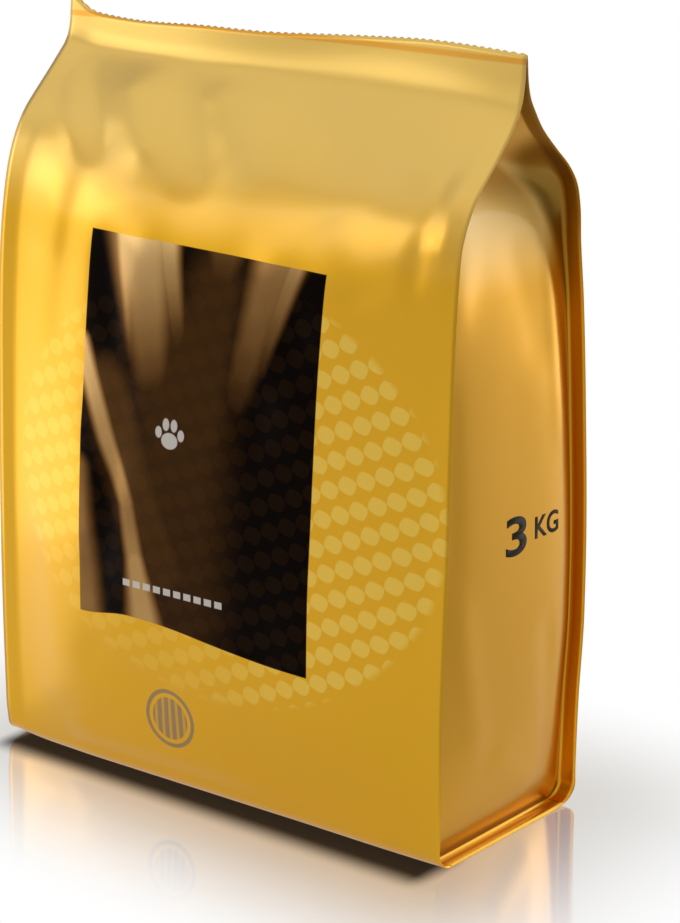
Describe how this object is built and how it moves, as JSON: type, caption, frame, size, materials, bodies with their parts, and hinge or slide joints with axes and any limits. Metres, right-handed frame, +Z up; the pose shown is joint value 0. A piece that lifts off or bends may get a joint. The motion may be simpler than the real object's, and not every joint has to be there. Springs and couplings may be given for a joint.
{
  "type": "pet food bag",
  "caption": "Filled and sealed flat-bottomed film pouch for dry pet food, with tucked side panels, welded edge fins and a flat top seal.",
  "frame": {"origin": "centre of the flat base, on the surface that the bag stands on", "axes": "+Z up along the height, +X across the width of the front panel, -Y out of the front panel"},
  "size_m": [0.26, 0.1224, 0.351],
  "materials": {
    "film": "gold metallised laminate film, satin, printed"
  },
  "bodies": {
    "root": {"bag": "film"}
  },
  "joints": []
}
